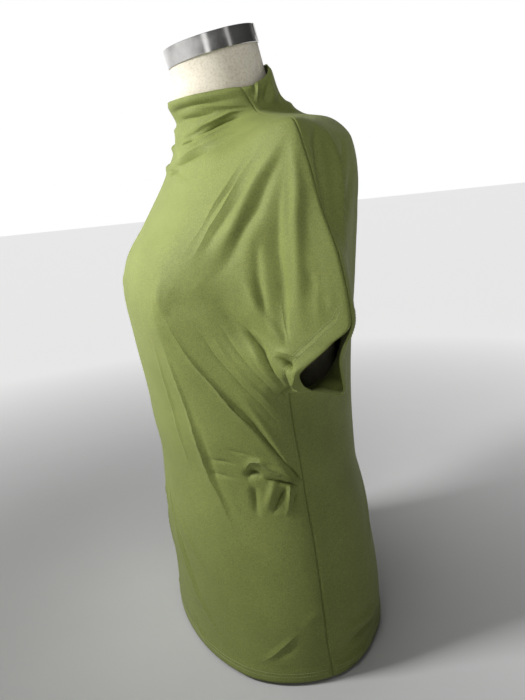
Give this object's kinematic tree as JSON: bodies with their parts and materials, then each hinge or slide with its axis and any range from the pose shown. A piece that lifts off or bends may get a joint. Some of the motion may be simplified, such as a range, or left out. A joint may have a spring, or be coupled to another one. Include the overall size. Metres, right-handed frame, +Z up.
{
  "type": "blouse on dress form",
  "caption": "Jersey blouse with a draped funnel neck, cut-on cap sleeves and a gathered side seam, worn by a limbless linen-covered dress form with a steel neck band.",
  "frame": {"origin": "middle of the dress form's flat foot, on the surface it stands on", "axes": "+Z up; the blouse faces -Y, so its wearer's left is +X"},
  "size_m": [0.4618, 0.2702, 0.7089],
  "materials": {
    "front_jersey": "soft sheen knit",
    "back_jersey": "soft sheen knit",
    "linen_cover": "matte woven",
    "polished_steel": "polished",
    "varnished_board": "satin varnish"
  },
  "bodies": {
    "root": {"front": "front_jersey", "back": "back_jersey", "form_torso": "linen_cover", "neck_band": "polished_steel", "neck_cap": "varnished_board"}
  },
  "joints": []
}
